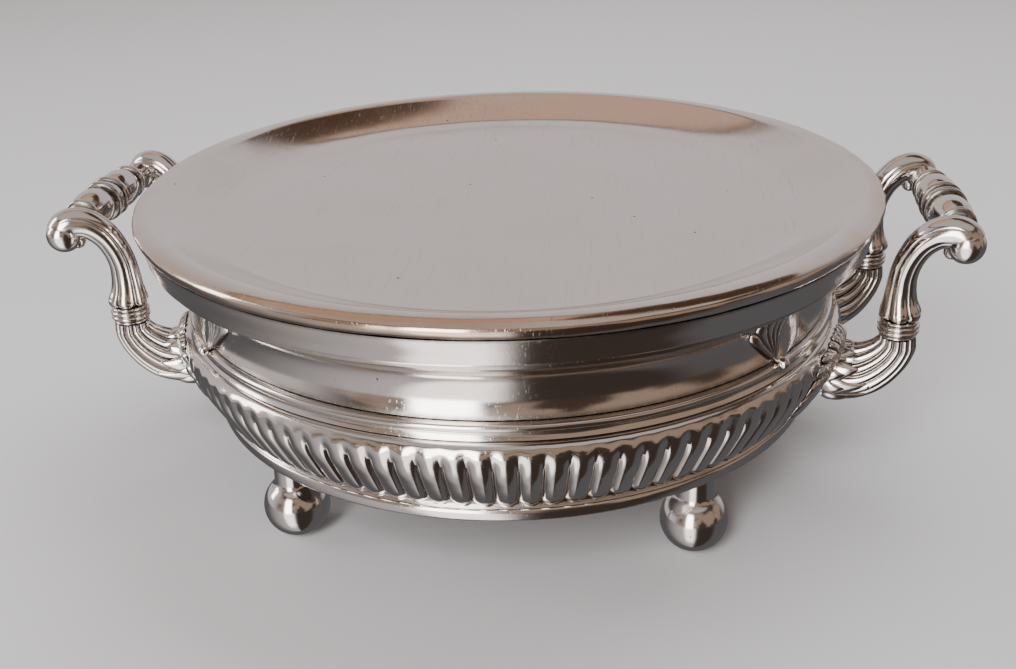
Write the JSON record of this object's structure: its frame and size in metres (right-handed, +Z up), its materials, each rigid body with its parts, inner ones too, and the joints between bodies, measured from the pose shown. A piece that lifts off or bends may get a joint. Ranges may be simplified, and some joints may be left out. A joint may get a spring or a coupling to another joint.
{
  "type": "soup tureen",
  "caption": "Round two-handled silver-plated soup tureen on ball feet, with a gadrooned belly, a lift-out liner and a dish-shaped lift-off cover.",
  "frame": {"origin": "on the surface the feet stand on, under the middle of the bowl", "axes": "+Z up; +X from the middle of the bowl to one handle; +Y to the back, square to the line of the handles"},
  "size_m": [0.3678, 0.3, 0.1218],
  "materials": {
    "satin_silver": "silver plate, satin from use, finely scratched",
    "bright_silver": "silver plate, polished, light tarnish",
    "cast_silver": "cast and silver plated, polished, dark in the recesses",
    "liner_silver": "silver plate, satin",
    "bare_brass": "bare brass"
  },
  "bodies": {
    "body": {"body_neck": "bright_silver", "shoulder_bead": "bright_silver", "gadrooned_belly": "bright_silver", "base_band": "bright_silver", "bottom_plate": "bright_silver", "foot_front_left": "cast_silver", "foot_front_right": "cast_silver", "foot_back_left": "cast_silver", "foot_back_right": "cast_silver", "foot_screw_front_left": "bare_brass", "foot_screw_front_right": "bare_brass", "foot_screw_back_left": "bare_brass", "foot_screw_back_right": "bare_brass", "leaf_mount_left_near": "cast_silver", "leaf_mount_left_far": "cast_silver", "leaf_mount_right_near": "cast_silver", "leaf_mount_right_far": "cast_silver", "bracket_left_near": "cast_silver", "bracket_left_far": "cast_silver", "bracket_right_near": "cast_silver", "bracket_right_far": "cast_silver", "ferrule_left_near": "cast_silver", "ferrule_left_far": "cast_silver", "ferrule_right_near": "cast_silver", "ferrule_right_far": "cast_silver", "arm_left_near": "cast_silver", "arm_left_far": "cast_silver", "arm_right_near": "cast_silver", "arm_right_far": "cast_silver", "grip_left": "cast_silver", "grip_right": "cast_silver", "handle_screw_left_near": "bare_brass", "handle_screw_left_far": "bare_brass", "handle_screw_right_near": "bare_brass", "handle_screw_right_far": "bare_brass"},
    "liner": {"liner_pan": "liner_silver"},
    "cover": {"cover_dish": "satin_silver", "cover_rim_wire": "bare_brass", "cover_skirt": "bright_silver"}
  },
  "joints": [
    {"name": "liner_lift", "type": "slide", "parent": "body", "child": "liner", "axis": [0, 0, 1], "range_m": [0, 0.1]},
    {"name": "cover_lift", "type": "slide", "parent": "liner", "child": "cover", "axis": [0, 0, 1], "range_m": [0, 0.12]}
  ]
}
